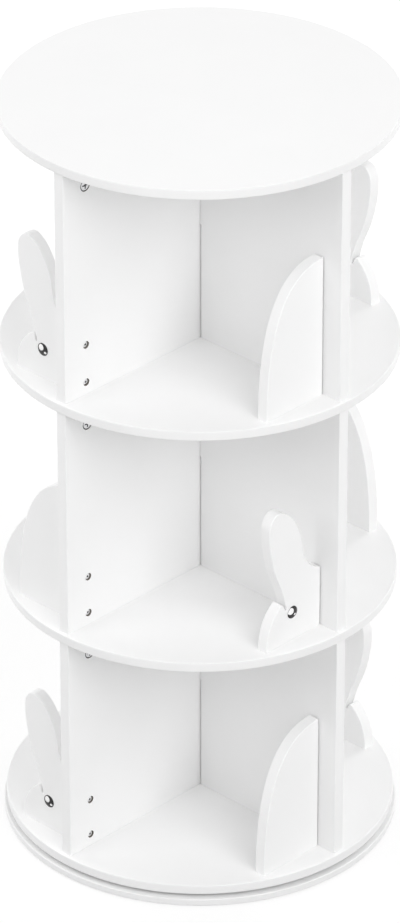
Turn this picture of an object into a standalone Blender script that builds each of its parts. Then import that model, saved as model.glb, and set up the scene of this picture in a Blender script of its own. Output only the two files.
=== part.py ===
"""Revolving bookcase for picture books, 486 mm across and 977 mm tall.

Three round shelves and a round top are held apart by crossed boards, which make
four compartments in each tier. A divider stands at the open end of every
compartment, cut either as a plain fin or as a rabbit's head with one ear. The
whole case turns on a slim ball ring above a round base plate.

Metres, +Z up. The origin is on the floor under the middle of the base. The
crossed boards lie along X and Y. Arm 0 points to +X, and each next arm is a
quarter turn further round, seen from above as counter-clockwise.
"""
import math

import bmesh
import bpy
from mathutils import Matrix, Vector
from mathutils.geometry import interpolate_bezier

MM = 0.001

# Clearance between two pieces that touch
SEAT = 0.3 * MM

# Base plate and its pads
PAD_RADIUS = 14 * MM
PAD_HEIGHT = 2 * MM
PAD_COUNT = 6
PAD_INSET = 38 * MM
BASE_LIP = 3 * MM
BASE_THICKNESS = 9 * MM

# Ball ring between the base plate and the bottom shelf
TURNTABLE_GAP = 6 * MM
RUNNING_GAP = 0.8 * MM
BALL_CIRCLE_RADIUS = 139 * MM
BALL_RADIUS = 1.75 * MM
BALL_COUNT = 16
GROOVE_CLEARANCE = 0.35 * MM
RACE_LAND = 1.2 * MM
RACE_WIDTH = 10 * MM
CAGE_THICKNESS = 1.2 * MM
CAGE_HEIGHT = 2.6 * MM
RACE_SCREW_RADIUS = 2 * MM
RACE_SCREW_LENGTH = 7 * MM
RACE_SCREW_COUNT = 4

# Round shelves and top
SHELF_RADIUS = 240 * MM
SHELF_THICKNESS = 12 * MM
SHELF_EDGE_ROUND = 1.2 * MM
TIER_CLEAR_HEIGHT = 304 * MM

# Crossed boards
BOARD_THICKNESS = 15 * MM
BOARD_INSET = 5 * MM
BOARD_EDGE_ROUND = 0.8 * MM
LOWER_LAP_CLEARANCE = 1.6 * MM
UPPER_LAP_CLEARANCE = 0.5 * MM

# Dividers. A fin's arc leaves its foot upright and meets the arm level: the side
# handle is the height up to which it is drawn upright, and the top handle the
# distance from the arm from which it is drawn level
DIVIDER_THICKNESS = 15 * MM
DIVIDER_INSET = 35 * MM
DIVIDER_EDGE_ROUND = 1.2 * MM
FIN_REACH = 95 * MM
FIN_HEIGHT = 182.5 * MM
FIN_SIDE_HANDLE = 96 * MM
FIN_TOP_HANDLE = 76 * MM
FIN_ARC_STEPS = 12

# Rabbit outline: distance from the arm's face, height above the shelf, and
# whether the outline turns a corner there or passes smoothly
RABBIT_REACH = 93 * MM
RABBIT_NECK_HEIGHT = 80.5 * MM
RABBIT_OUTLINE = (
    (0 * MM, 0 * MM, "corner"),
    (RABBIT_REACH, 0 * MM, "corner"),
    (90.5 * MM, 19 * MM, "smooth"),
    (85 * MM, 37 * MM, "smooth"),
    (76 * MM, 50.5 * MM, "smooth"),
    (68.5 * MM, 55 * MM, "smooth"),
    (63.5 * MM, 51.5 * MM, "smooth"),
    (61 * MM, 46 * MM, "smooth"),
    (59.2 * MM, 44.8 * MM, "smooth"),
    (58.9 * MM, 47 * MM, "smooth"),
    (66 * MM, 72 * MM, "smooth"),
    (78.5 * MM, 103 * MM, "smooth"),
    (86 * MM, 134 * MM, "smooth"),
    (88.5 * MM, 156 * MM, "smooth"),
    (85.5 * MM, 174.5 * MM, "smooth"),
    (74 * MM, 183 * MM, "smooth"),
    (60 * MM, 178 * MM, "smooth"),
    (45 * MM, 161 * MM, "smooth"),
    (34 * MM, 136 * MM, "smooth"),
    (27 * MM, 104 * MM, "smooth"),
    (13 * MM, 87.5 * MM, "smooth"),
    (0 * MM, RABBIT_NECK_HEIGHT, "corner"),
)
RABBIT_CURVE_STEPS = 3

# Rabbit's eye, a domed button on the divider's outer face
EYE_RADIUS = 8.2 * MM
EYE_RISE = 2 * MM
EYE_REACH = 49.5 * MM
EYE_HEIGHT = 38 * MM

# Screws that hold each divider through its arm, with their heads sunk in the arm's far face
SCREW_HEIGHTS = (16 * MM, 66 * MM)
SCREW_RADIUS = 2 * MM
SCREW_GRIP = 20 * MM
SCREW_HEAD_RADIUS = 4.1 * MM
SCREW_HEAD_TOP_RADIUS = 3.4 * MM
SCREW_HEAD_HEIGHT = 2.2 * MM
SCREW_HEAD_SINK = 1.5 * MM
SCREW_BORE_RADIUS = 4.8 * MM

# Cam locks in the boards, each with the bolt that it pulls down from the shelf above
CAM_RADIUS = 7.5 * MM
CAM_FLOOR = 2.5 * MM
CAM_DROP = 28 * MM
CAM_INSET = 36 * MM
CAM_BOLT_RADIUS = 3 * MM

# Dowels glued into the boards' lower edges, which stand in the shelf below
DOWEL_RADIUS = 4 * MM
DOWEL_RISE = 20 * MM
DOWEL_INSET = 115 * MM

# How deep bolts and dowels sit in a shelf
ANCHOR_DEPTH = 8 * MM

# Sides of the round forms
SHELF_SIDES = 64
RING_SIDES = 56
CAGE_SIDES = 48
SMALL_SIDES = 16
EYE_SIDES = 12
FASTENER_SIDES = 8
SMOOTH_ANGLE = math.radians(40)

# Levels that follow from the sizes above
BASE_RADIUS = SHELF_RADIUS + BASE_LIP
BASE_BOTTOM = PAD_HEIGHT
BASE_TOP = BASE_BOTTOM + BASE_THICKNESS
CASE_BOTTOM = BASE_TOP + TURNTABLE_GAP
TIER_PITCH = TIER_CLEAR_HEIGHT + SHELF_THICKNESS
BALL_LEVEL = BASE_TOP + TURNTABLE_GAP / 2
BOARD_HEIGHT = TIER_CLEAR_HEIGHT - 2 * SEAT
BOARD_HALF = BOARD_THICKNESS / 2
ARM_REACH = SHELF_RADIUS - BOARD_INSET
DIVIDER_AT = ARM_REACH - DIVIDER_INSET
CAM_AT = ARM_REACH - CAM_INSET
DOWEL_AT = ARM_REACH - DOWEL_INSET
CAM_DEPTH = BOARD_THICKNESS - CAM_FLOOR
CAM_LEVEL = TIER_CLEAR_HEIGHT - SEAT - CAM_DROP
SCREW_HEAD_SEAT = BOARD_HALF - SCREW_HEAD_SINK - SCREW_HEAD_HEIGHT

TIERS = ("lower", "middle", "upper")
SIDES = ("front", "right", "back", "left")
QUARTER = math.tau / 4


# Scene, collections and materials

def clear_scene():
    for obj in list(bpy.data.objects):
        bpy.data.objects.remove(obj, do_unlink=True)


def new_collection(name):
    collection = bpy.data.collections.new(name)
    bpy.context.scene.collection.children.link(collection)
    return collection


def new_material(name, colour, roughness, metallic=0.0):
    material = bpy.data.materials.new(name)
    material.use_nodes = True
    shader = material.node_tree.nodes["Principled BSDF"]
    shader.inputs["Base Color"].default_value = (*colour, 1.0)
    shader.inputs["Roughness"].default_value = roughness
    shader.inputs["Metallic"].default_value = metallic
    return material


clear_scene()
PARTS = new_collection("revolving_bookcase")
CUTTERS = new_collection("cutters")

WHITE_BOARD = new_material("white_lacquered_board", (0.90, 0.90, 0.90), 0.45)
ZINC = new_material("zinc_plated_steel", (0.55, 0.56, 0.58), 0.35, 1.0)
BLACK_EYE = new_material("black_gloss_plastic", (0.01, 0.01, 0.012), 0.08)
PAD_RUBBER = new_material("grey_pad_rubber", (0.25, 0.25, 0.25), 0.85)
CAGE_PLASTIC = new_material("white_nylon", (0.75, 0.75, 0.72), 0.5)


# Building blocks

def add_object(name, data, material, parent=None, location=(0, 0, 0), turn=0.0):
    """Put one part in the model, in its own material."""
    obj = bpy.data.objects.new(name, data)
    PARTS.objects.link(obj)
    obj.parent = parent
    obj.location = location
    obj.rotation_euler.z = turn
    if not data.materials:
        data.materials.append(material)
    return obj


def add_axis(name, location, parent=None):
    empty = bpy.data.objects.new(name, None)
    PARTS.objects.link(empty)
    empty.empty_display_size = 0.05
    empty.parent = parent
    empty.location = location
    return empty


def round_edges(obj, width, segments=1):
    bevel = obj.modifiers.new("rounded_edges", "BEVEL")
    bevel.width = width
    bevel.segments = segments
    bevel.limit_method = "ANGLE"
    bevel.angle_limit = SMOOTH_ANGLE
    bevel.use_clamp_overlap = False


def combine(obj, tool_mesh, operation):
    """Cut a tool mesh from a part, or join it on. The tool stands where the part stands."""
    tool = bpy.data.objects.new(obj.name + "_" + operation.lower(), tool_mesh)
    CUTTERS.objects.link(tool)
    tool.parent = obj.parent
    tool.location = obj.location
    tool.rotation_euler = obj.rotation_euler
    tool.hide_render = True
    tool.display_type = "WIRE"
    boolean = obj.modifiers.new(operation.lower(), "BOOLEAN")
    boolean.operation = operation
    boolean.object = tool


def mesh_from(name, bm):
    """Turn a bmesh into a mesh that is smooth except at its sharp edges."""
    mesh = bpy.data.meshes.new(name)
    bm.to_mesh(mesh)
    bm.free()
    mesh.shade_smooth()
    mesh.set_sharp_from_angle(angle=SMOOTH_ANGLE)
    return mesh


def add_box(bm, low, high):
    low = Vector(low)
    high = Vector(high)
    place = Matrix.Translation((low + high) / 2) @ Matrix.Diagonal((*(high - low), 1.0))
    bmesh.ops.create_cube(bm, size=1.0, matrix=place)


def add_rod(bm, start, end, radius, sides, end_radius=None):
    """A round bar, or a cone where the end radius differs, from one point to another."""
    start = Vector(start)
    end = Vector(end)
    along = end - start
    turn = along.to_track_quat("Z", "Y").to_matrix().to_4x4()
    bmesh.ops.create_cone(
        bm,
        cap_ends=True,
        segments=sides,
        radius1=radius,
        radius2=radius if end_radius is None else end_radius,
        depth=along.length,
        matrix=Matrix.Translation((start + end) / 2) @ turn,
    )


def disc_mesh(name, radius, low, high, sides):
    bm = bmesh.new()
    add_rod(bm, (0, 0, low), (0, 0, high), radius, sides)
    return mesh_from(name, bm)


def turned_object(name, profile, sides, material, parent=None, location=(0, 0, 0)):
    """Turn a closed profile of radius and height round Z. It runs down its outer side."""
    mesh = bpy.data.meshes.new(name)
    points = [(radius, 0, height) for radius, height in profile]
    edges = [(i, (i + 1) % len(points)) for i in range(len(points))]
    mesh.from_pydata(points, edges, [])
    obj = add_object(name, mesh, material, parent, location)
    screw = obj.modifiers.new("turned", "SCREW")
    screw.axis = "Z"
    screw.angle = math.tau
    screw.steps = sides
    screw.render_steps = sides
    screw.use_merge_vertices = True
    screw.merge_threshold = 0.00001
    screw.use_smooth_shade = False
    return obj


def plate_from_curve(name, curve):
    """A filled outline drawn in X and Y, stood up so that its Y is height, as a mesh.

    The outline's X runs to -Y, away from arm 0's face, and its thickness lies along X.
    """
    curve.dimensions = "2D"
    curve.fill_mode = "BOTH"
    curve.extrude = DIVIDER_THICKNESS / 2
    guide = bpy.data.objects.new(name + "_outline", curve)
    CUTTERS.objects.link(guide)
    bpy.context.view_layer.update()
    drawn = guide.evaluated_get(bpy.context.evaluated_depsgraph_get())
    bm = bmesh.new()
    outline_mesh = bpy.data.meshes.new_from_object(drawn)
    bm.from_mesh(outline_mesh)
    bpy.data.meshes.remove(outline_mesh)
    bpy.data.objects.remove(guide)
    bmesh.ops.remove_doubles(bm, verts=bm.verts, dist=0.00001)
    stand_up = Matrix(((0, 0, 1, 0), (-1, 0, 0, 0), (0, 1, 0, 0), (0, 0, 0, 1)))
    bmesh.ops.transform(bm, matrix=stand_up, verts=bm.verts)
    bmesh.ops.dissolve_limit(bm, angle_limit=math.radians(0.5), verts=bm.verts, edges=bm.edges)
    bmesh.ops.recalc_face_normals(bm, faces=bm.faces)
    shift = Vector((DIVIDER_AT, -BOARD_HALF - SEAT, SEAT))
    bmesh.ops.translate(bm, vec=shift, verts=bm.verts)
    return mesh_from(name, bm)


def arm_turn(arm):
    return arm * QUARTER


def tier_floor(tier):
    """Height of the shelf surface that a tier stands on."""
    return CASE_BOTTOM + SHELF_THICKNESS + tier * TIER_PITCH


# Base plate, pads and ball ring

def race_screw_points(radius):
    """Places of the screws that fix a race, spread round the ring."""
    step = math.tau / RACE_SCREW_COUNT
    return [
        (radius * math.cos((i + 0.5) * step), radius * math.sin((i + 0.5) * step))
        for i in range(RACE_SCREW_COUNT)
    ]


def race_screws_mesh(name, radius, start, end, screw_radius):
    bm = bmesh.new()
    for x, y in race_screw_points(radius):
        add_rod(bm, (x, y, start), (x, y, end), screw_radius, FASTENER_SIDES)
    return mesh_from(name, bm)


def build_base():
    mesh = disc_mesh("base_plate", BASE_RADIUS, BASE_BOTTOM, BASE_TOP, SHELF_SIDES)
    base = add_object("base_plate", mesh, WHITE_BOARD)
    round_edges(base, SHELF_EDGE_ROUND)
    outer_race_middle = BALL_CIRCLE_RADIUS + RACE_LAND + RACE_WIDTH / 2
    bores = race_screws_mesh(
        "base_bores",
        outer_race_middle,
        BASE_TOP + SEAT,
        BASE_TOP - RACE_SCREW_LENGTH - SEAT,
        RACE_SCREW_RADIUS + SEAT,
    )
    combine(base, bores, "DIFFERENCE")

    pad = disc_mesh("pad", PAD_RADIUS, 0, PAD_HEIGHT - SEAT, SMALL_SIDES)
    for i in range(PAD_COUNT):
        angle = (i + 0.5) * math.tau / PAD_COUNT
        reach = BASE_RADIUS - PAD_INSET
        place = (reach * math.cos(angle), reach * math.sin(angle), 0)
        add_object(f"foot_pad_{i + 1}", pad, PAD_RUBBER, location=place)


def race_profile(side, low, high):
    """Section of a race. Side is 1 for the race outside the balls and -1 for the one inside."""
    face = BALL_CIRCLE_RADIUS + side * RACE_LAND
    back = face + side * RACE_WIDTH
    groove = BALL_CIRCLE_RADIUS + side * math.sqrt(2) * (BALL_RADIUS + GROOVE_CLEARANCE)
    lip = abs(groove - face)
    section = [
        (face, high),
        (face, BALL_LEVEL + lip),
        (groove, BALL_LEVEL),
        (face, BALL_LEVEL - lip),
        (face, low),
        (back, low),
        (back, high),
    ]
    return section if side < 0 else section[::-1]


def build_ball_ring(spin_axis, cage_axis):
    lower_span = (BASE_TOP + SEAT, CASE_BOTTOM - RUNNING_GAP)
    upper_span = (BASE_TOP + RUNNING_GAP, CASE_BOTTOM - SEAT)
    race_middle = RACE_LAND + RACE_WIDTH / 2

    lower = turned_object("fixed_outer_race", race_profile(1, *lower_span), RING_SIDES, ZINC)
    lower_screws = race_screws_mesh(
        "outer_race_screws",
        BALL_CIRCLE_RADIUS + race_middle,
        BASE_TOP + SEAT + RUNNING_GAP,
        BASE_TOP - RACE_SCREW_LENGTH,
        RACE_SCREW_RADIUS,
    )
    combine(lower, lower_screws, "UNION")

    section = race_profile(-1, *upper_span)
    upper = turned_object("turning_inner_race", section, RING_SIDES, ZINC, spin_axis)
    upper_screws = race_screws_mesh(
        "inner_race_screws",
        BALL_CIRCLE_RADIUS - race_middle,
        CASE_BOTTOM - SEAT - RUNNING_GAP,
        CASE_BOTTOM + RACE_SCREW_LENGTH,
        RACE_SCREW_RADIUS,
    )
    combine(upper, upper_screws, "UNION")

    inner = BALL_CIRCLE_RADIUS - CAGE_THICKNESS / 2
    outer = BALL_CIRCLE_RADIUS + CAGE_THICKNESS / 2
    low = BALL_LEVEL - CAGE_HEIGHT / 2
    high = BALL_LEVEL + CAGE_HEIGHT / 2
    section = [(outer, high), (outer, low), (inner, low), (inner, high)]
    cage = turned_object("ball_cage", section, CAGE_SIDES, CAGE_PLASTIC, cage_axis)
    bm = bmesh.new()
    for i in range(BALL_COUNT):
        turn = Matrix.Rotation(i * math.tau / BALL_COUNT, 4, "Z")
        place = turn @ Matrix.Translation((BALL_CIRCLE_RADIUS, 0, BALL_LEVEL))
        bmesh.ops.create_uvsphere(bm, u_segments=6, v_segments=5, radius=BALL_RADIUS, matrix=place)
    combine(cage, mesh_from("balls", bm), "UNION")


# Shelves

def arm_rods_mesh(name, reach, start, end, radius, arms=4):
    """A bar at the same reach along each arm, from one height to another."""
    bm = bmesh.new()
    for arm in range(arms):
        turn = Matrix.Rotation(arm * math.tau / arms, 4, "Z")
        low = turn @ Vector((reach, 0, start))
        high = turn @ Vector((reach, 0, end))
        add_rod(bm, low, high, radius, FASTENER_SIDES)
    return mesh_from(name, bm)


def build_shelves(spin_axis):
    mesh = disc_mesh("shelf_disc", SHELF_RADIUS, -SHELF_THICKNESS, 0, SHELF_SIDES)
    dowel_bores = arm_rods_mesh(
        "dowel_bores", DOWEL_AT, -ANCHOR_DEPTH - SEAT, SHELF_THICKNESS, DOWEL_RADIUS + SEAT)
    bolt_bores = arm_rods_mesh(
        "bolt_bores",
        CAM_AT,
        -2 * SHELF_THICKNESS,
        -SHELF_THICKNESS + ANCHOR_DEPTH + SEAT,
        CAM_BOLT_RADIUS + SEAT,
    )
    race_bores = race_screws_mesh(
        "race_bores",
        BALL_CIRCLE_RADIUS - RACE_LAND - RACE_WIDTH / 2,
        -SHELF_THICKNESS - SEAT,
        -SHELF_THICKNESS + RACE_SCREW_LENGTH + SEAT,
        RACE_SCREW_RADIUS + SEAT,
    )
    bores = {
        "bottom_shelf": (race_bores, dowel_bores),
        "lower_middle_shelf": (bolt_bores, dowel_bores),
        "upper_middle_shelf": (bolt_bores, dowel_bores),
        "top_board": (bolt_bores,),
    }
    for level, (name, cuts) in enumerate(bores.items()):
        place = (0, 0, tier_floor(level))
        shelf = add_object(name, mesh, WHITE_BOARD, spin_axis, place)
        round_edges(shelf, SHELF_EDGE_ROUND)
        for cut in cuts:
            combine(shelf, cut, "DIFFERENCE")


# Crossed boards

def board_tools_mesh(name, lap_low, lap_high, lap_clearance):
    """Lap slot, screw holes and cam pockets of one board that lies along X."""
    bm = bmesh.new()
    slot = BOARD_HALF + lap_clearance
    add_box(bm, (-slot, -BOARD_THICKNESS, lap_low), (slot, BOARD_THICKNESS, lap_high))
    for flip in (0, math.pi):
        side = Matrix.Rotation(flip, 4, "Z")
        for height in SCREW_HEIGHTS:
            start = side @ Vector((DIVIDER_AT, -BOARD_THICKNESS, height))
            end = side @ Vector((DIVIDER_AT, BOARD_THICKNESS, height))
            add_rod(bm, start, end, SCREW_RADIUS + SEAT, FASTENER_SIDES)
        start = side @ Vector((CAM_AT, BOARD_HALF - CAM_DEPTH - SEAT, CAM_LEVEL))
        end = side @ Vector((CAM_AT, BOARD_THICKNESS, CAM_LEVEL))
        add_rod(bm, start, end, CAM_RADIUS + SEAT, SMALL_SIDES)
    return mesh_from(name, bm)


def screw_head_bores_mesh():
    """Wide bores in a board along X, which the screw heads lie in."""
    bm = bmesh.new()
    for flip in (0, math.pi):
        side = Matrix.Rotation(flip, 4, "Z")
        for height in SCREW_HEIGHTS:
            start = side @ Vector((DIVIDER_AT, SCREW_HEAD_SEAT - SEAT, height))
            end = side @ Vector((DIVIDER_AT, BOARD_THICKNESS, height))
            add_rod(bm, start, end, SCREW_BORE_RADIUS, FASTENER_SIDES)
    return mesh_from("screw_head_bores", bm)


def build_boards(spin_axis):
    """Two boards a tier, lapped like the dividers of an egg crate."""
    bm = bmesh.new()
    low = (-ARM_REACH, -BOARD_HALF, SEAT)
    high = (ARM_REACH, BOARD_HALF, SEAT + BOARD_HEIGHT)
    add_box(bm, low, high)
    board_mesh = mesh_from("board", bm)
    middle = TIER_CLEAR_HEIGHT / 2
    below = -BOARD_THICKNESS
    above = TIER_CLEAR_HEIGHT + BOARD_THICKNESS
    slot_from_below = board_tools_mesh(
        "slot_from_below", below, middle + SEAT / 2, LOWER_LAP_CLEARANCE)
    slot_from_above = board_tools_mesh(
        "slot_from_above", middle - SEAT / 2, above, UPPER_LAP_CLEARANCE)
    bolt_bores = arm_rods_mesh(
        "board_bolt_bores", CAM_AT, CAM_LEVEL, above, CAM_BOLT_RADIUS + 2 * SEAT, 2)
    head_bores = screw_head_bores_mesh()
    dowels = arm_rods_mesh("dowels", DOWEL_AT, -ANCHOR_DEPTH, DOWEL_RISE, DOWEL_RADIUS, 2)
    for tier, tier_name in enumerate(TIERS):
        place = (0, 0, tier_floor(tier))
        for name, turn, tools in (
            ("wide_board", 0.0, slot_from_below),
            ("deep_board", QUARTER, slot_from_above),
        ):
            board = add_object(
                f"{tier_name}_{name}", board_mesh, WHITE_BOARD, spin_axis, place, turn)
            round_edges(board, BOARD_EDGE_ROUND)
            combine(board, tools, "DIFFERENCE")
            combine(board, head_bores, "DIFFERENCE")
            combine(board, bolt_bores, "DIFFERENCE")
            combine(board, dowels, "UNION")


def build_cams(spin_axis):
    """Cam drums that lie along Y in their pockets, each with the bolt that it pulls down."""
    bm = bmesh.new()
    start = (CAM_AT, BOARD_HALF - CAM_DEPTH, CAM_LEVEL)
    end = (CAM_AT, BOARD_HALF, CAM_LEVEL)
    add_rod(bm, start, end, CAM_RADIUS, SMALL_SIDES)
    drum = mesh_from("cam_lock", bm)
    bolt_top = TIER_CLEAR_HEIGHT + ANCHOR_DEPTH
    bolt = arm_rods_mesh("cam_bolt", CAM_AT, CAM_LEVEL, bolt_top, CAM_BOLT_RADIUS, 1)
    for tier, tier_name in enumerate(TIERS):
        for arm in range(4):
            name = f"{tier_name}_cam_lock_{arm + 1}"
            place = (0, 0, tier_floor(tier))
            cam = add_object(name, drum, ZINC, spin_axis, place, arm_turn(arm))
            combine(cam, bolt, "UNION")


# Dividers

def fin_mesh():
    """A full quarter arc from the shelf to the arm, with its upright edge on the arm."""
    foot = Vector((FIN_REACH - SEAT, 0))
    side = Vector((FIN_REACH - SEAT, FIN_SIDE_HANDLE))
    over = Vector((FIN_TOP_HANDLE, FIN_HEIGHT - SEAT))
    top = Vector((0, FIN_HEIGHT - SEAT))
    arc = interpolate_bezier(foot, side, over, top, FIN_ARC_STEPS + 1)
    points = [Vector((0, 0)), *arc]
    curve = bpy.data.curves.new("fin", "CURVE")
    spline = curve.splines.new("POLY")
    spline.points.add(len(points) - 1)
    for point, (x, y) in zip(spline.points, points):
        point.co = (x, y, 0, 1)
    spline.use_cyclic_u = True
    return plate_from_curve("fin_divider", curve)


def rabbit_mesh():
    """A rabbit's head with one ear, its back on the arm."""
    curve = bpy.data.curves.new("rabbit", "CURVE")
    curve.resolution_u = RABBIT_CURVE_STEPS
    spline = curve.splines.new("BEZIER")
    spline.bezier_points.add(len(RABBIT_OUTLINE) - 1)
    for point, (x, y, kind) in zip(spline.bezier_points, RABBIT_OUTLINE):
        point.co = (x, y, 0)
        handle = "VECTOR" if kind == "corner" else "AUTO"
        point.handle_left_type = handle
        point.handle_right_type = handle
    spline.use_cyclic_u = True
    return plate_from_curve("rabbit_divider", curve)


def divider_screws_meshes():
    """Two screws that come through the arm into the divider's upright edge."""
    shanks = bmesh.new()
    heads = bmesh.new()
    for height in SCREW_HEIGHTS:
        tip = (DIVIDER_AT, -BOARD_HALF - SCREW_GRIP, height)
        neck = (DIVIDER_AT, SCREW_HEAD_SEAT, height)
        inside_head = (DIVIDER_AT, SCREW_HEAD_SEAT + SCREW_HEAD_HEIGHT / 2, height)
        top = (DIVIDER_AT, SCREW_HEAD_SEAT + SCREW_HEAD_HEIGHT, height)
        add_rod(shanks, tip, inside_head, SCREW_RADIUS, FASTENER_SIDES)
        add_rod(heads, neck, top, SCREW_HEAD_RADIUS, FASTENER_SIDES, SCREW_HEAD_TOP_RADIUS)
    return mesh_from("screw_shanks", shanks), mesh_from("screw_heads", heads)


def eye_mesh():
    """A low dome with a flat back, facing out along X."""
    bm = bmesh.new()
    back = (
        DIVIDER_AT + DIVIDER_THICKNESS / 2 + SEAT,
        -BOARD_HALF - EYE_REACH,
        SEAT + EYE_HEIGHT,
    )
    bmesh.ops.create_uvsphere(bm, u_segments=EYE_SIDES, v_segments=6, radius=EYE_RADIUS)
    lower_half = [face for face in bm.faces if face.calc_center_median().z < 0]
    bmesh.ops.delete(bm, geom=lower_half, context="FACES")
    bmesh.ops.holes_fill(bm, edges=bm.edges)
    bmesh.ops.recalc_face_normals(bm, faces=bm.faces)
    flatten = Matrix.Diagonal((1, 1, EYE_RISE / EYE_RADIUS, 1))
    face_out = Matrix.Rotation(QUARTER, 4, "Y")
    place = Matrix.Translation(back) @ face_out @ flatten
    bmesh.ops.transform(bm, matrix=place, verts=bm.verts)
    return mesh_from("rabbit_eye", bm)


def build_dividers(spin_axis):
    fin = fin_mesh()
    rabbit = rabbit_mesh()
    eye = eye_mesh()
    shanks, heads = divider_screws_meshes()
    for tier, tier_name in enumerate(TIERS):
        place = (0, 0, tier_floor(tier))
        for arm, side_name in enumerate(SIDES):
            is_rabbit = (tier + arm) % 2 == 1
            kind = "rabbit" if is_rabbit else "fin"
            name = f"{tier_name}_{side_name}_{kind}_divider"
            mesh = rabbit if is_rabbit else fin
            divider = add_object(name, mesh, WHITE_BOARD, spin_axis, place, arm_turn(arm))
            round_edges(divider, DIVIDER_EDGE_ROUND)
            combine(divider, shanks, "UNION")
            combine(divider, heads, "UNION")
            if is_rabbit:
                eye_name = f"{tier_name}_{side_name}_rabbit_eye"
                add_object(eye_name, eye, BLACK_EYE, spin_axis, place, arm_turn(arm))


def build_bookcase():
    spin_axis = add_axis("spin_axis", (0, 0, 0))
    cage_axis = add_axis("cage_axis", (0, 0, 0))
    build_base()
    build_ball_ring(spin_axis, cage_axis)
    build_shelves(spin_axis)
    build_boards(spin_axis)
    build_cams(spin_axis)
    build_dividers(spin_axis)


build_bookcase()
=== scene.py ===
"""Finish of the revolving bookcase: satin white lacquered fibreboard, plated steel
fasteners and glossy button eyes, on a plain white studio floor."""
import math

import bmesh
import bpy
from mathutils import Matrix, Vector
from mathutils.geometry import interpolate_bezier


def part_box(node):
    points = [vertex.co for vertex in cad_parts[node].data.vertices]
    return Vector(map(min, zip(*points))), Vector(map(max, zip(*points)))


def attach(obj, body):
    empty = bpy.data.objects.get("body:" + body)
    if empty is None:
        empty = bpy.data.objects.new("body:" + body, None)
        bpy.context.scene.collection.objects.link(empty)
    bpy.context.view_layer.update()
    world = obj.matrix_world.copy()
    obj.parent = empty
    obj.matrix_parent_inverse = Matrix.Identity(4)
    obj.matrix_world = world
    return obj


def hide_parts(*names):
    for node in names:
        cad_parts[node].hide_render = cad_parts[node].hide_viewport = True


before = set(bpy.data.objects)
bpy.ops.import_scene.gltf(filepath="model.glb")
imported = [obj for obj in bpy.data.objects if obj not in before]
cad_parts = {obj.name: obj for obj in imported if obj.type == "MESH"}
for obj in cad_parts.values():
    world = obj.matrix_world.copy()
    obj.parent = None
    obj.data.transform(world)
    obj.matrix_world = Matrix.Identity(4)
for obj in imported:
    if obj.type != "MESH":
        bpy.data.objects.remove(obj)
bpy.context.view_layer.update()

MM = 0.001
QUARTER = math.tau / 4
TIERS = ("lower", "middle", "upper")
SIDES = ("front", "right", "back", "left")
SHELVES = ("bottom_shelf", "lower_middle_shelf", "upper_middle_shelf", "top_board")
FOOT_PADS = 6

# Clearances and small sizes of the pieces, as in the construction
SEAT = 0.3 * MM
CONTACT = 0.02 * MM
ROOT_GAP = 1.0 * MM
LOWER_LAP_CLEARANCE = 1.6 * MM
UPPER_LAP_CLEARANCE = 0.5 * MM
SHELF_EDGE_ROUND = 1.2 * MM
BOARD_EDGE_ROUND = 0.9 * MM
DIVIDER_EDGE_ROUND = 1.2 * MM
ROUND_STEPS = 3

# How finely round shapes are stepped
SHELF_SIDES = 192
CAM_SIDES = 48
EYE_SIDES = 48
SCREW_SIDES = 40
HEXAGON_SIDES = 6
GLINT_SIDES = 32
GLINT_RINGS = 6
EYE_ARC_STEPS = 14
SCREW_ARC_STEPS = 8
FIN_ARC_STEPS = 48
RABBIT_CURVE_STEPS = 12

# Edges that turn by more degrees than this count as sharp, on boards and on metal fittings
SHARP_ANGLE = 40
FITTING_SHARP_ANGLE = 35

# Neighbouring faces that turn by fewer degrees than this are one flat face, and points that
# lie nearer than this are one point
FLAT_ANGLE = 0.2
WELD = 0.01 * MM
TURNED_WELD = 0.001 * MM

# A board's face is a broad one where its normal runs along the thickness by at least this share
BROAD_SHARE = 0.9

# Dividers: reach from the arm's face, height above the shelf
DIVIDER_THICKNESS = 15 * MM
DIVIDER_INSET = 35 * MM
FIN_REACH = 95 * MM
FIN_HEIGHT = 182.5 * MM
FIN_SIDE_HANDLE = 96 * MM
FIN_TOP_HANDLE = 76 * MM
RABBIT_REACH = 93 * MM
RABBIT_NECK_HEIGHT = 80.5 * MM
RABBIT_OUTLINE = (
    (0 * MM, 0 * MM, "corner"),
    (RABBIT_REACH, 0 * MM, "corner"),
    (91.5 * MM, 16 * MM, "smooth"),
    (87 * MM, 31 * MM, "smooth"),
    (80.5 * MM, 42 * MM, "smooth"),
    (72.5 * MM, 50.5 * MM, "smooth"),
    (66 * MM, 54.5 * MM, "smooth"),
    (62.8 * MM, 50.5 * MM, "smooth"),
    (61 * MM, 46 * MM, "smooth"),
    (59.2 * MM, 44.8 * MM, "smooth"),
    (58.9 * MM, 47 * MM, "smooth"),
    (66 * MM, 72 * MM, "smooth"),
    (78.5 * MM, 103 * MM, "smooth"),
    (86 * MM, 134 * MM, "smooth"),
    (88.5 * MM, 156 * MM, "smooth"),
    (85.5 * MM, 174.5 * MM, "smooth"),
    (74 * MM, 183 * MM, "smooth"),
    (60 * MM, 178 * MM, "smooth"),
    (45 * MM, 161 * MM, "smooth"),
    (34 * MM, 136 * MM, "smooth"),
    (27 * MM, 104 * MM, "smooth"),
    (13 * MM, 87.5 * MM, "smooth"),
    (0 * MM, RABBIT_NECK_HEIGHT, "corner"),
)

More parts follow.
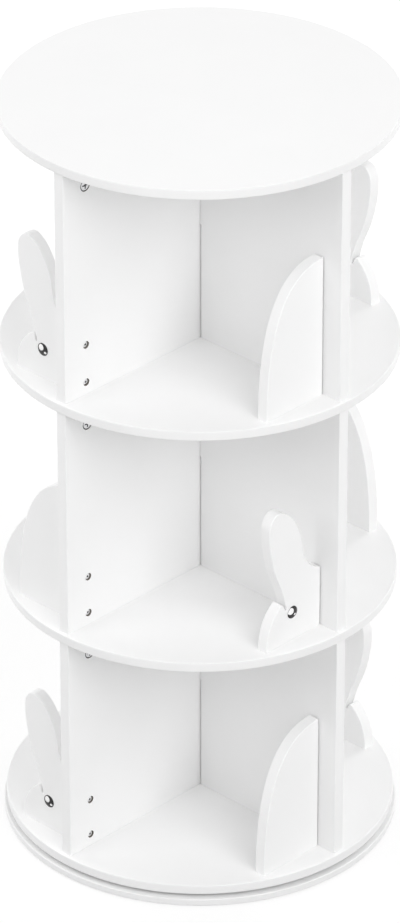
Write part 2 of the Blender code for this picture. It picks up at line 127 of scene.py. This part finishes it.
# Button eye, and the two printed glints on it: centre and half sizes, across and up as
# someone sees them who looks at the eye. On the front and back arms the print sits nearer to
# the rim, and its larger glint runs over it
EYE_RADIUS = 8.2 * MM
EYE_RISE = 2 * MM
EYE_REACH = 49.5 * MM
EYE_HEIGHT = 38 * MM
SIDE_GLINTS = (
    ((-1.4 * MM, 3.0 * MM), (4.0 * MM, 3.9 * MM)),
    ((5.1 * MM, -2.5 * MM), (1.7 * MM, 1.6 * MM)),
)
FRONT_GLINTS = (
    ((-4.3 * MM, 3.2 * MM), (4.9 * MM, 4.4 * MM)),
    ((2.5 * MM, -2.9 * MM), (1.6 * MM, 1.4 * MM)),
)
GLINT_REACH = EYE_RADIUS - 0.04 * MM
GLINT_LIFT = 0.06 * MM

# Sunk button head screws with a hexagon socket, two for each divider
SCREW_HEIGHTS = (16 * MM, 66 * MM)
SCREW_RADIUS = 2 * MM
SCREW_HEAD_RADIUS = 4.1 * MM
SCREW_HEAD_FLAT = 2.9 * MM
SCREW_HEAD_HEIGHT = 2.2 * MM
SCREW_HEAD_RELIEF = 0.1 * MM
SCREW_HEAD_SINK = 1.5 * MM
SCREW_BORE_RADIUS = 4.8 * MM
SCREW_SOCKET_RADIUS = 1.5 * MM
SCREW_SOCKET_DEPTH = 1.6 * MM

# Cam locks in the boards: a drum with a raised round face and a cross slot
CAM_RADIUS = 7.5 * MM
CAM_DEPTH = 12.5 * MM
CAM_DROP = 28 * MM
CAM_INSET = 36 * MM
CAM_CROSS_REACH = 4.6 * MM
CAM_CROSS_WIDTH = 1.7 * MM
CAM_CROSS_DEPTH = 2.4 * MM
CAM_POCKET_GAP = 0.3 * MM
CAM_FACE_RADIUS = 6.4 * MM
CAM_FACE_RISE = 1.6 * MM
CAM_FACE_ROUND = 0.3 * MM

# How far a cutting tool stands out past the face that it cuts
TOOL_PROUD = 1 * MM


# Colour and material helpers

def linear(code):
    """An sRGB hex colour as a linear colour with alpha."""
    channels = [int(code[i:i + 2], 16) / 255 for i in (1, 3, 5)]
    return (*((c / 12.92) if c <= 0.04045 else ((c + 0.055) / 1.055) ** 2.4 for c in channels), 1.0)


def add(tree, kind, settings=None, values=None, links=None):
    """Add one node with its settings, socket values and incoming links."""
    made = tree.nodes.new(kind)
    for name, value in (settings or {}).items():
        setattr(made, name, value)
    for name, value in (values or {}).items():
        made.inputs[name].default_value = value
    for name, source in (links or {}).items():
        tree.links.new(source, made.inputs[name])
    return made


def empty_material(name):
    material = bpy.data.materials.new(name)
    material.use_nodes = True
    material.node_tree.nodes.clear()
    return material, material.node_tree


def per_metre(size_mm):
    """Texture scale for a pattern whose features are this many millimetres wide."""
    return 1000.0 / size_mm


def textured(name, dark, light, blotch_mm, grain_mm, rough, bump_mm, metallic=0.0,
             stretch=(1, 1, 1)):
    """A surface with broad drifts of colour and sheen, and a fine grain that lifts it.

    rough is the roughness of its smoothest and its dullest spots, and bump_mm the
    height of the grain. The IOR of 1.5 suits lacquer, ink, rubber and the plastics
    here alike.
    """
    material, tree = empty_material(name)
    place = add(tree, "ShaderNodeTexCoord")
    lay = add(tree, "ShaderNodeMapping", values={"Scale": stretch},
              links={"Vector": place.outputs["Object"]})
    blotch = add(tree, "ShaderNodeTexNoise",
                 values={"Scale": per_metre(blotch_mm), "Detail": 3.0, "Roughness": 0.55},
                 links={"Vector": place.outputs["Object"]})
    grain = add(tree, "ShaderNodeTexNoise",
                values={"Scale": per_metre(grain_mm), "Detail": 2.0, "Roughness": 0.6},
                links={"Vector": lay.outputs["Vector"]})
    # Of a colour mix, inputs 6 and 7 are the two colours, input 0 their share and output 2
    # the outcome
    colour = add(tree, "ShaderNodeMix", {"data_type": "RGBA"},
                 {6: linear(dark), 7: linear(light)},
                 {0: blotch.outputs["Fac"]})
    sheen = add(tree, "ShaderNodeMapRange",
                values={"From Min": 0.3, "From Max": 0.7, "To Min": rough[0], "To Max": rough[1]},
                links={"Value": grain.outputs["Fac"]})
    lift = add(tree, "ShaderNodeBump", values={"Strength": 1.0, "Distance": bump_mm * MM},
               links={"Height": grain.outputs["Fac"]})
    shader = add(tree, "ShaderNodeBsdfPrincipled",
                 values={"Metallic": metallic, "IOR": 1.5},
                 links={"Base Color": colour.outputs[2], "Roughness": sheen.outputs["Result"],
                        "Normal": lift.outputs["Normal"]})
    add(tree, "ShaderNodeOutputMaterial", links={"Surface": shader.outputs["BSDF"]})
    return material


def make_materials():
    return {
        # Sprayed and baked PU lacquer on fibreboard: even white, satin, with a faint orange peel
        "lacquer": textured("satin_white_lacquer", "#F5F5F5", "#F8F8F8", 90, 1.6, (0.36, 0.46),
                            0.006),
        # The cut edges of the board drink more paint: the same white, duller, slightly fibrous
        "edge": textured("lacquered_board_edge", "#F3F3F3", "#F7F7F7", 40, 0.9, (0.44, 0.56),
                         0.012, stretch=(1, 1, 0.4)),
        # The shelves' round rims get a slightly greyer white than the faces
        "rim": textured("greyer_shelf_rim", "#EEEEEE", "#F2F2F2", 60, 1.2, (0.42, 0.52), 0.006),
        # Bare fibreboard where a hole is drilled: brown grey, rough and dull, and painted darker
        # than the bare board to stand in for the shade down in the holes
        "core_and_hole_shade": textured("bare_fibreboard_and_painted_shade", "#76716A", "#8F8A83", 12, 0.8, (0.85, 0.95), 0.05),
        # Zinc plated steel screws: bright cool grey with a fine turned grain
        "zinc": textured("zinc_plated_steel", "#EDEEEF", "#F8F8F8", 6, 0.5, (0.34, 0.46), 0.003,
                         metallic=1.0),
        # Die cast zinc cam: nearly as bright as the screws, and grainier
        "cast": textured("die_cast_zinc", "#DCDDDF", "#EEEEEF", 4, 0.7, (0.35, 0.48), 0.006,
                         metallic=1.0),
        # Steel in the screw sockets, in the cam's cross slot and on the cam drum's side below its
        # face, dark and dull: painted shade standing in for the shadow down in them
        "socket": textured("painted_shade_steel", "#6A6B6E", "#808185", 2, 0.5, (0.45, 0.6), 0.01,
                           metallic=1.0),
        # Moulded glossy ABS button: deep black under an even gloss
        "eye": textured("black_gloss_abs", "#050506", "#0A0A0B", 5, 2.5, (0.12, 0.18), 0.001),
        # Pad printed white ink: opaque, slightly raised
        "ink": textured("white_pad_print", "#F6F6F6", "#FFFFFF", 3, 0.6, (0.3, 0.4), 0.002),
        # Grey foam rubber pads: matte with small pores
        "rubber": textured("grey_foam_rubber", "#4A4A4B", "#5C5C5D", 8, 0.8, (0.82, 0.95), 0.05),
        # Nylon ball cage: milky and slightly waxy
        "nylon": textured("milky_nylon", "#DAD9D3", "#E8E7E2", 12, 1.2, (0.4, 0.5), 0.006),
        # Rolled steel races, zinc plated: cool mid grey with a smooth, fine grain
        "race": textured("plated_steel_race", "#A5A7AA", "#C6C8CB", 15, 0.6, (0.26, 0.4), 0.004,
                         metallic=1.0),
    }


paint = make_materials()


# Mesh helpers

def link_object(name, mesh):
    obj = bpy.data.objects.new(name, mesh)
    bpy.context.scene.collection.objects.link(obj)
    return obj


def baked(obj):
    """Apply an object's modifiers, give back the mesh and remove the object."""
    bpy.context.view_layer.update()
    drawn = obj.evaluated_get(bpy.context.evaluated_depsgraph_get())
    mesh = bpy.data.meshes.new_from_object(drawn)
    bpy.data.objects.remove(obj)
    return mesh


def soften(mesh, angle=SHARP_ANGLE):
    """Shade a mesh smooth except at sharp edges, with flat faces kept flat."""
    mesh.shade_smooth()
    mesh.set_sharp_from_angle(angle=math.radians(angle))
    obj = link_object(mesh.name + "_draft", mesh)
    weigh = obj.modifiers.new("weighted_normals", "WEIGHTED_NORMAL")
    weigh.keep_sharp = True
    weigh.weight = 100
    made = baked(obj)
    made.name = mesh.name
    return made


def add_box(bm, low, high):
    low = Vector(low)
    high = Vector(high)
    place = Matrix.Translation((low + high) / 2) @ Matrix.Diagonal((*(high - low), 1.0))
    bmesh.ops.create_cube(bm, size=1.0, matrix=place)


def add_rod(bm, start, end, radius, sides):
    start = Vector(start)
    end = Vector(end)
    along = end - start
    turn = along.to_track_quat("Z", "Y").to_matrix().to_4x4()
    bmesh.ops.create_cone(
        bm,
        cap_ends=True,
        segments=sides,
        radius1=radius,
        radius2=radius,
        depth=along.length,
        matrix=Matrix.Translation((start + end) / 2) @ turn,
    )


def mesh_from(name, bm):
    mesh = bpy.data.meshes.new(name)
    bm.to_mesh(mesh)
    bm.free()
    return mesh


def rounded(mesh, width, flat_levels=()):
    """Round a mesh's sharp edges, but for those at a flat level."""
    bm = bmesh.new()
    bm.from_mesh(mesh)
    sharp = []
    for edge in bm.edges:
        heights = [vertex.co.z for vertex in edge.verts]
        level = any(max(abs(z - flat) for z in heights) < CONTACT for flat in flat_levels)
        if edge.calc_face_angle() > math.radians(SHARP_ANGLE) and not level:
            sharp.append(edge)
    bmesh.ops.bevel(bm, geom=sharp, offset=width, segments=ROUND_STEPS, profile=0.5,
                    affect="EDGES", clamp_overlap=False)
    bm.to_mesh(mesh)
    bm.free()
    return mesh


def cut_from(mesh, tools):
    """Cut tools from a mesh one by one, and give back what is left."""
    obj = link_object(mesh.name + "_draft", mesh)
    cutters = [link_object(tool.name + "_cutter", tool) for tool in tools]
    for cutter in cutters:
        obj.modifiers.new("cut", "BOOLEAN").object = cutter
    made = baked(obj)
    made.name = mesh.name
    for cutter in cutters:
        bpy.data.objects.remove(cutter)
    return made


def turned(name, profile, steps):
    """Turn a profile of radius and height, from the top down its outer side, round Z."""
    mesh = bpy.data.meshes.new(name)
    points = [(radius, 0, height) for radius, height in profile]
    mesh.from_pydata(points, [(i, i + 1) for i in range(len(points) - 1)], [])
    obj = link_object(name + "_draft", mesh)
    screw = obj.modifiers.new("turned", "SCREW")
    screw.axis = "Z"
    screw.angle = math.tau
    screw.steps = steps
    screw.render_steps = steps
    screw.use_merge_vertices = True
    screw.merge_threshold = TURNED_WELD
    made = baked(obj)
    made.name = name
    return made


def assign(mesh, material):
    mesh.materials.clear()
    mesh.materials.append(material)
    return mesh


def paint_edges(mesh, face_axis, edge_material):
    """Lacquer the two broad faces of a board and give its thin edges another material."""
    mesh.materials.clear()
    mesh.materials.append(paint["lacquer"])
    mesh.materials.append(edge_material)
    for polygon in mesh.polygons:
        broad = abs(polygon.normal[face_axis]) > BROAD_SHARE
        polygon.material_index = 0 if broad else 1


def place_piece(name, mesh, place, node=None, body="carousel"):
    """Stand one finished piece at its place, a matrix, and let it ride its body.

    Where it dresses a solid of the construction, node is that solid.
    """
    obj = link_object(name, mesh)
    obj.matrix_world = place
    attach(obj, body)
    if node is not None:
        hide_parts(node)


# Sizes read from the frame

shelf_low, shelf_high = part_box("bottom_shelf")
next_shelf_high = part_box("lower_middle_shelf")[1]
base_low, base_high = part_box("base_plate")
board_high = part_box("lower_wide_board")[1]
SHELF_RADIUS = shelf_high.x
SHELF_THICKNESS = shelf_high.z - shelf_low.z
TIER_PITCH = next_shelf_high.z - shelf_high.z
TIER_CLEAR_HEIGHT = TIER_PITCH - SHELF_THICKNESS
ARM_REACH = board_high.x
BOARD_HALF = board_high.y
DIVIDER_AT = ARM_REACH - DIVIDER_INSET
CAM_AT = ARM_REACH - CAM_INSET
CAM_LEVEL = TIER_CLEAR_HEIGHT - SEAT - CAM_DROP
SCREW_HEAD_SEAT = BOARD_HALF - SCREW_HEAD_SINK - SCREW_HEAD_HEIGHT


# Turns for a fitting on arm 0 whose own +Z points out of the face that it sits in. Both keep
# its Y up: the first lays +Z along the arm to +X, the second across the arm to +Y
ALONG_ARM = Matrix(((0, 0, 1, 0), (1, 0, 0, 0), (0, 1, 0, 0), (0, 0, 0, 1)))
ACROSS_ARM = Matrix(((-1, 0, 0, 0), (0, 0, 1, 0), (0, 1, 0, 0), (0, 0, 0, 1)))


def on_tier(tier, arm=0):
    """The matrix of a tier's floor, turned to an arm."""
    lift = Matrix.Translation((0, 0, shelf_high.z + tier * TIER_PITCH))
    return lift @ Matrix.Rotation(arm * QUARTER, 4, "Z")


def fitting_place(tier, arm, point, lay):
    """The matrix of a fitting, from its point on arm 0 and the way it lies there."""
    return on_tier(tier, arm) @ Matrix.Translation(point) @ lay


# Pieces

def disc_mesh(name, radius, low, high):
    bm = bmesh.new()
    add_rod(bm, (0, 0, low), (0, 0, high), radius, SHELF_SIDES)
    mesh = soften(rounded(mesh_from(name, bm), SHELF_EDGE_ROUND))
    paint_edges(mesh, 2, paint["rim"])
    return mesh


def make_discs():
    shelf = disc_mesh("shelf_panel", SHELF_RADIUS, -SHELF_THICKNESS, 0)
    for level, node in enumerate(SHELVES):
        place_piece(f"{node}_panel", shelf, on_tier(level), node)
    base = disc_mesh("base_panel", base_high.x, base_low.z, base_high.z)
    place_piece("base_plate_panel", base, Matrix.Identity(4), "base_plate", "base")


def board_mesh(name, lap_low, lap_high, lap_clearance):
    """One crossed board along X, with its lap slot, cam pockets and screw head bores."""
    foot = CONTACT
    top = TIER_CLEAR_HEIGHT - CONTACT
    bm = bmesh.new()
    add_box(bm, (-ARM_REACH, -BOARD_HALF, foot), (ARM_REACH, BOARD_HALF, top))
    board = mesh_from(name, bm)
    bm = bmesh.new()
    slot = BOARD_HALF + lap_clearance
    past = 4 * BOARD_HALF
    add_box(bm, (-slot, -past, lap_low), (slot, past, lap_high))
    for flip in (0, math.pi):
        side = Matrix.Rotation(flip, 4, "Z")
        start = side @ Vector((CAM_AT, BOARD_HALF - CAM_DEPTH - SEAT, CAM_LEVEL))
        end = side @ Vector((CAM_AT, past, CAM_LEVEL))
        add_rod(bm, start, end, CAM_RADIUS + CAM_POCKET_GAP, CAM_SIDES)
        for height in SCREW_HEIGHTS:
            start = side @ Vector((DIVIDER_AT, SCREW_HEAD_SEAT - SEAT, height))
            end = side @ Vector((DIVIDER_AT, past, height))
            add_rod(bm, start, end, SCREW_BORE_RADIUS, SCREW_SIDES)
    tool = mesh_from(name + "_tool", bm)
    mesh = soften(cut_from(rounded(board, BOARD_EDGE_ROUND, (foot, top)), [tool]))
    paint_edges(mesh, 1, paint["edge"])
    # The walls of the cam pockets and screw bores take the bare fibreboard, painted darker for the
    # shade down in the holes
    mesh.materials.append(paint["core_and_hole_shade"])
    for polygon in mesh.polygons:
        middle = polygon.center
        inside = abs(middle.y) < BOARD_HALF - WELD
        near_cam = math.hypot(abs(middle.x) - CAM_AT, middle.z - CAM_LEVEL) < 2 * CAM_RADIUS
        near_screw = abs(abs(middle.x) - DIVIDER_AT) < 2 * SCREW_BORE_RADIUS and (
            2 * BOARD_EDGE_ROUND < middle.z < SCREW_HEIGHTS[-1] + 2 * SCREW_BORE_RADIUS)
        if inside and (near_cam or near_screw):
            polygon.material_index = 2
    return mesh


def make_boards():
    middle = TIER_CLEAR_HEIGHT / 2
    beyond = 2 * SHELF_THICKNESS
    wide = board_mesh("wide_panel", -beyond, middle + SEAT / 2, LOWER_LAP_CLEARANCE)
    deep = board_mesh("deep_panel", middle - SEAT / 2, TIER_CLEAR_HEIGHT + beyond,
                      UPPER_LAP_CLEARANCE)
    # The wide board makes arms 0 and 2, and the deep one, turned by a quarter, arms 1 and 3
    for tier, tier_name in enumerate(TIERS):
        for arm, (kind, mesh) in enumerate((("wide", wide), ("deep", deep))):
            place_piece(f"{tier_name}_{kind}_panel", mesh, on_tier(tier, arm),
                        f"{tier_name}_{kind}_board")


def divider_mesh(name, curve):
    """Stand a filled outline up at its place on arm 0 and round its edges."""
    curve.dimensions = "2D"
    curve.fill_mode = "BOTH"
    curve.extrude = DIVIDER_THICKNESS / 2
    obj = link_object(name + "_outline", curve)
    drawn = baked(obj)
    bm = bmesh.new()
    bm.from_mesh(drawn)
    bpy.data.meshes.remove(drawn)
    bmesh.ops.remove_doubles(bm, verts=bm.verts, dist=WELD)
    # The outline runs from the arm to -Y and up, and its thickness along X
    stand_up = Matrix(((0, 0, 1, 0), (-1, 0, 0, 0), (0, 1, 0, 0), (0, 0, 0, 1)))
    bmesh.ops.transform(bm, matrix=stand_up, verts=bm.verts)
    bmesh.ops.dissolve_limit(bm, angle_limit=math.radians(FLAT_ANGLE), verts=bm.verts,
                             edges=bm.edges)
    bmesh.ops.recalc_face_normals(bm, faces=bm.faces)
    shift = Vector((DIVIDER_AT, -BOARD_HALF - ROOT_GAP, CONTACT))
    bmesh.ops.translate(bm, vec=shift, verts=bm.verts)
    mesh = soften(rounded(mesh_from(name, bm), DIVIDER_EDGE_ROUND, (CONTACT,)))
    paint_edges(mesh, 0, paint["edge"])
    return mesh


def fin_mesh():
    foot = Vector((FIN_REACH - SEAT, 0))
    side = Vector((FIN_REACH - SEAT, FIN_SIDE_HANDLE))
    over = Vector((FIN_TOP_HANDLE, FIN_HEIGHT - SEAT))
    top = Vector((0, FIN_HEIGHT - SEAT))
    arc = interpolate_bezier(foot, side, over, top, FIN_ARC_STEPS + 1)
    points = [Vector((0, 0)), *arc]
    curve = bpy.data.curves.new("fin", "CURVE")
    spline = curve.splines.new("POLY")
    spline.points.add(len(points) - 1)
    for point, (x, y) in zip(spline.points, points):
        point.co = (x, y, 0, 1)
    spline.use_cyclic_u = True
    return divider_mesh("fin_panel", curve)


def rabbit_mesh():
    curve = bpy.data.curves.new("rabbit", "CURVE")
    curve.resolution_u = RABBIT_CURVE_STEPS
    spline = curve.splines.new("BEZIER")
    spline.bezier_points.add(len(RABBIT_OUTLINE) - 1)
    for point, (x, y, kind) in zip(spline.bezier_points, RABBIT_OUTLINE):
        point.co = (x, y, 0)
        handle = "VECTOR" if kind == "corner" else "AUTO"
        point.handle_left_type = handle
        point.handle_right_type = handle
    spline.use_cyclic_u = True
    return divider_mesh("rabbit_panel", curve)


def screw_mesh():
    """A button head with a hexagon socket, its seat at height zero and its top at +Z."""
    corner = SCREW_HEAD_RADIUS - SCREW_HEAD_FLAT
    profile = [(0.0, SCREW_HEAD_HEIGHT)]
    for i in range(SCREW_ARC_STEPS + 1):
        angle = i * QUARTER / SCREW_ARC_STEPS
        radius = SCREW_HEAD_FLAT + corner * math.sin(angle)
        profile.append((radius, SCREW_HEAD_HEIGHT - corner + corner * math.cos(angle)))
    profile += [
        (SCREW_HEAD_RADIUS, SCREW_HEAD_RELIEF),
        (SCREW_HEAD_RADIUS - SCREW_HEAD_RELIEF, 0.0),
        (SCREW_RADIUS, 0.0),
        (SCREW_RADIUS, -2 * BOARD_HALF),
        (0.0, -2 * BOARD_HALF),
    ]
    head = turned("button_screw", profile, SCREW_SIDES)
    bm = bmesh.new()
    top = SCREW_HEAD_HEIGHT + TOOL_PROUD
    bottom = SCREW_HEAD_HEIGHT - SCREW_SOCKET_DEPTH
    add_rod(bm, (0, 0, bottom), (0, 0, top), SCREW_SOCKET_RADIUS, HEXAGON_SIDES)
    assign(head, paint["zinc"])
    head.materials.append(paint["socket"])
    mesh = cut_from(head, [mesh_from("hexagon", bm)])
    # The hexagon socket's faces take the dark steel, which paints the shade down in the socket
    for polygon in mesh.polygons:
        middle = polygon.center
        in_socket = math.hypot(middle.x, middle.y) < SCREW_SOCKET_RADIUS
        polygon.material_index = 1 if in_socket and middle.z > 0 else 0
    return soften(mesh, FITTING_SHARP_ANGLE)


def cam_mesh():
    """A cam drum with its cross slot, its face at height zero and its depth down -Z."""
    profile = [
        (0.0, 0.0),
        (CAM_FACE_RADIUS - CAM_FACE_ROUND, 0.0),
        (CAM_FACE_RADIUS, -CAM_FACE_ROUND),
        (CAM_FACE_RADIUS, -CAM_FACE_RISE),
        (CAM_RADIUS, -CAM_FACE_RISE),
        (CAM_RADIUS, -CAM_DEPTH),
        (0.0, -CAM_DEPTH),
    ]
    drum = turned("cam_drum", profile, CAM_SIDES)
    assign(drum, paint["cast"])
    drum.materials.append(paint["socket"])
    tools = []
    half = CAM_CROSS_WIDTH / 2
    for x, y in ((CAM_CROSS_REACH, half), (half, CAM_CROSS_REACH)):
        bm = bmesh.new()
        add_box(bm, (-x, -y, -CAM_CROSS_DEPTH), (x, y, TOOL_PROUD))
        tools.append(mesh_from("cross_arm", bm))
    mesh = cut_from(drum, tools)
    # Below the round face, the cross slot and the drum's side in its gap take the dark steel, which
    # paints the shade in the slot and the dark ring round the raised face
    for polygon in mesh.polygons:
        below_face = polygon.center.z < -CAM_FACE_ROUND
        polygon.material_index = 1 if below_face else 0
    return soften(mesh, FITTING_SHARP_ANGLE)


def dome_height(x, y):
    """Height of the eye's dome above its back, at a place across it."""
    left = 1.0 - (x * x + y * y) / (EYE_RADIUS * EYE_RADIUS)
    return EYE_RISE * math.sqrt(max(left, 0.0))


def eye_mesh():
    """A low dome lying on Z, with its back at height zero."""
    profile = []
    for i in range(EYE_ARC_STEPS + 1):
        angle = i * QUARTER / EYE_ARC_STEPS
        profile.append((EYE_RADIUS * math.sin(angle), EYE_RISE * math.cos(angle)))
    profile.append((0.0, 0.0))
    return assign(soften(turned("eye_button", profile, EYE_SIDES)), paint["eye"])


def glint_mesh(name, centre, half_sizes):
    """An oval of ink that follows the dome and ends at its rim."""
    bm = bmesh.new()
    grid = []
    for ring in range(1, GLINT_RINGS + 1):
        row = []
        for side in range(GLINT_SIDES):
            angle = side * math.tau / GLINT_SIDES
            across = centre[0] + half_sizes[0] * ring / GLINT_RINGS * math.cos(angle)
            up = centre[1] + half_sizes[1] * ring / GLINT_RINGS * math.sin(angle)
            inward = min(1.0, GLINT_REACH / math.hypot(across, up))
            across *= inward
            up *= inward
            lift = GLINT_LIFT if ring < GLINT_RINGS else 0.0
            row.append(bm.verts.new((across, up, dome_height(across, up) + lift)))
        grid.append(row)
    middle = bm.verts.new((*centre, dome_height(*centre) + GLINT_LIFT))
    for side in range(GLINT_SIDES):
        following = (side + 1) % GLINT_SIDES
        bm.faces.new((middle, grid[0][side], grid[0][following]))
        for ring in range(GLINT_RINGS - 1):
            bm.faces.new((grid[ring][side], grid[ring + 1][side],
                          grid[ring + 1][following], grid[ring][following]))
    mesh = mesh_from(name, bm)
    mesh.shade_smooth()
    return assign(mesh, paint["ink"])


def make_dividers():
    fin = fin_mesh()
    rabbit = rabbit_mesh()
    eye = eye_mesh()
    side_glints = [glint_mesh(f"side_glint_{i + 1}", *shape) for i, shape in enumerate(SIDE_GLINTS)]
    front_glints = [glint_mesh(f"front_glint_{i + 1}", *shape)
                    for i, shape in enumerate(FRONT_GLINTS)]
    screw = screw_mesh()
    eye_at = (DIVIDER_AT + DIVIDER_THICKNESS / 2, -BOARD_HALF - EYE_REACH, SEAT + EYE_HEIGHT)
    for tier, tier_name in enumerate(TIERS):
        for arm, side_name in enumerate(SIDES):
            is_rabbit = (tier + arm) % 2 == 1
            kind = "rabbit" if is_rabbit else "fin"
            stem = f"{tier_name}_{side_name}"
            place_piece(f"{stem}_{kind}_panel", rabbit if is_rabbit else fin,
                        on_tier(tier, arm), f"{stem}_{kind}_divider")
            for i, height in enumerate(SCREW_HEIGHTS):
                place = fitting_place(tier, arm, (DIVIDER_AT, SCREW_HEAD_SEAT, height), ACROSS_ARM)
                place_piece(f"{stem}_screw_{i + 1}", screw, place)
            if is_rabbit:
                place = fitting_place(tier, arm, eye_at, ALONG_ARM)
                place_piece(f"{stem}_eye_button", eye, place, f"{stem}_rabbit_eye")
                for i, glint in enumerate(side_glints if arm % 2 else front_glints):
                    place_piece(f"{stem}_eye_glint_{i + 1}", glint, place)


def make_cams():
    cam = cam_mesh()
    for tier, tier_name in enumerate(TIERS):
        for arm in range(len(SIDES)):
            place = fitting_place(tier, arm, (CAM_AT, BOARD_HALF, CAM_LEVEL), ACROSS_ARM)
            place_piece(f"{tier_name}_cam_drum_{arm + 1}", cam, place,
                        f"{tier_name}_cam_lock_{arm + 1}")


def finish_frame_nodes():
    """Materials for the frame's own nodes that keep their shape."""
    kept = {"fixed_outer_race": "race", "turning_inner_race": "race", "ball_cage": "nylon"}
    for i in range(FOOT_PADS):
        kept[f"foot_pad_{i + 1}"] = "rubber"
    for node, name in kept.items():
        assign(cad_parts[node].data, paint[name])


# Studio

# The camera looks into the corner between the front and the left arm, from a little nearer
# to the left one
CAMERA_AZIMUTH = math.radians(43.9)
CAMERA_PITCH = math.radians(29.85)
CAMERA_DISTANCE = 6.864
CAMERA_HEIGHT = 4.423
CAMERA_LENS_MM = 255.5
SENSOR_MM = 36.0
CAMERA_NEAR = 0.1
CAMERA_FAR = 100

# A white tent all round, and large soft boxes that stand about the object: azimuth,
# elevation, brightness on the object and width. Only the tent mirrors in the lacquer, so that
# the top keeps its tone from every side
SKY_STRENGTH = 0.455
LIGHT_DISTANCE = 6.0
LIGHT_AIM = 0.5
SOFT_LIGHTS = (
    ("key", 74, 37, 0.4, 4.4),
    ("low_key", 80, 15, 0.11, 3.8),
    ("fill", -15, 37, 0.3, 4.4),
    ("left", -82, 16, 0.41, 3.6),
    ("back", 178, 16, 0.45, 3.6),
)

# The floor runs far out of view. It throws back this much light on the object, and lets its
# shadow show by this share
FLOOR_SIZE = 40
FLOOR_BOUNCE = "#CECECE"
FLOOR_SHADOW = 0.2

# The floor's own glow near the object and far from it, where less light falls on it
GLOW_NEAR = (0.6, 1.0)
GLOW_FAR = (2.6, 1.15)


def back_direction(azimuth, elevation):
    """Unit vector from the object towards a viewer at this azimuth and elevation."""
    return Vector((
        math.sin(azimuth) * math.cos(elevation),
        -math.cos(azimuth) * math.cos(elevation),
        math.sin(elevation),
    ))


def make_camera():
    data = bpy.data.cameras.new("camera")
    data.sensor_width = SENSOR_MM
    data.lens = CAMERA_LENS_MM
    data.clip_start = CAMERA_NEAR
    data.clip_end = CAMERA_FAR
    camera = bpy.data.objects.new("camera", data)
    bpy.context.scene.collection.objects.link(camera)
    ground = back_direction(CAMERA_AZIMUTH, 0.0) * CAMERA_DISTANCE
    camera.location = ground + Vector((0, 0, CAMERA_HEIGHT))
    look = -back_direction(CAMERA_AZIMUTH, CAMERA_PITCH)
    camera.rotation_euler = look.to_track_quat("-Z", "Y").to_euler()
    bpy.context.scene.camera = camera


def seen_directly(tree):
    """1 for rays that show a surface to the eye: straight, mirrored or through glass."""
    path = add(tree, "ShaderNodeLightPath")
    first = add(tree, "ShaderNodeMath", {"operation": "MAXIMUM"},
                links={0: path.outputs["Is Camera Ray"], 1: path.outputs["Is Glossy Ray"]})
    return add(tree, "ShaderNodeMath", {"operation": "MAXIMUM"},
               links={0: first.outputs[0], 1: path.outputs["Is Transmission Ray"]}).outputs[0]


def make_world():
    world = bpy.data.worlds.new("white_studio")
    bpy.context.scene.world = world
    world.use_nodes = True
    tree = world.node_tree
    tree.nodes.clear()
    seen = seen_directly(tree)
    light = add(tree, "ShaderNodeBackground",
                values={"Color": linear("#FFFFFF"), "Strength": SKY_STRENGTH})
    backdrop = add(tree, "ShaderNodeBackground",
                   values={"Color": linear("#FFFFFF"), "Strength": 1.0})
    mix = add(tree, "ShaderNodeMixShader",
              links={0: seen, 1: light.outputs[0], 2: backdrop.outputs[0]})
    add(tree, "ShaderNodeOutputWorld", links={"Surface": mix.outputs[0]})


def make_floor():
    bm = bmesh.new()
    bmesh.ops.create_grid(bm, x_segments=1, y_segments=1, size=FLOOR_SIZE)
    floor = link_object("floor", mesh_from("floor", bm))
    material, tree = empty_material("white_studio_floor")
    seen = seen_directly(tree)
    bounce = add(tree, "ShaderNodeBsdfDiffuse", values={"Color": linear(FLOOR_BOUNCE)})
    white = add(tree, "ShaderNodeBsdfDiffuse", values={"Color": linear("#FFFFFF")})
    place = add(tree, "ShaderNodeTexCoord")
    away = add(tree, "ShaderNodeVectorMath", {"operation": "LENGTH"},
               links={0: place.outputs["Object"]})
    evened = add(tree, "ShaderNodeMapRange",
                 values={"From Min": GLOW_NEAR[0], "To Min": GLOW_NEAR[1],
                         "From Max": GLOW_FAR[0], "To Max": GLOW_FAR[1]},
                 links={"Value": away.outputs["Value"]})
    glow = add(tree, "ShaderNodeEmission", values={"Color": linear("#FFFFFF")},
               links={"Strength": evened.outputs["Result"]})
    shown = add(tree, "ShaderNodeMixShader", values={0: FLOOR_SHADOW},
                links={1: glow.outputs[0], 2: white.outputs[0]})
    mix = add(tree, "ShaderNodeMixShader",
              links={0: seen, 1: bounce.outputs[0], 2: shown.outputs[0]})
    add(tree, "ShaderNodeOutputMaterial", links={"Surface": mix.outputs[0]})
    assign(floor.data, material)


def make_lights():
    for name, azimuth, elevation, strength, width in SOFT_LIGHTS:
        data = bpy.data.lights.new(name, "AREA")
        data.shape = "DISK"
        data.size = width
        # At strength 1 a white card that faces the lamp from where it aims looks white
        data.energy = strength * (math.pi * LIGHT_DISTANCE) ** 2
        lamp = bpy.data.objects.new(name, data)
        bpy.context.scene.collection.objects.link(lamp)
        towards = back_direction(math.radians(azimuth), math.radians(elevation))
        lamp.location = Vector((0, 0, LIGHT_AIM)) + towards * LIGHT_DISTANCE
        lamp.rotation_euler = towards.to_track_quat("Z", "Y").to_euler()
        lamp.visible_camera = False
        lamp.visible_glossy = False


make_camera()
make_world()
make_floor()
make_lights()
make_discs()
make_boards()
make_dividers()
make_cams()
finish_frame_nodes()

bpy.context.scene.view_settings.view_transform = "Standard"
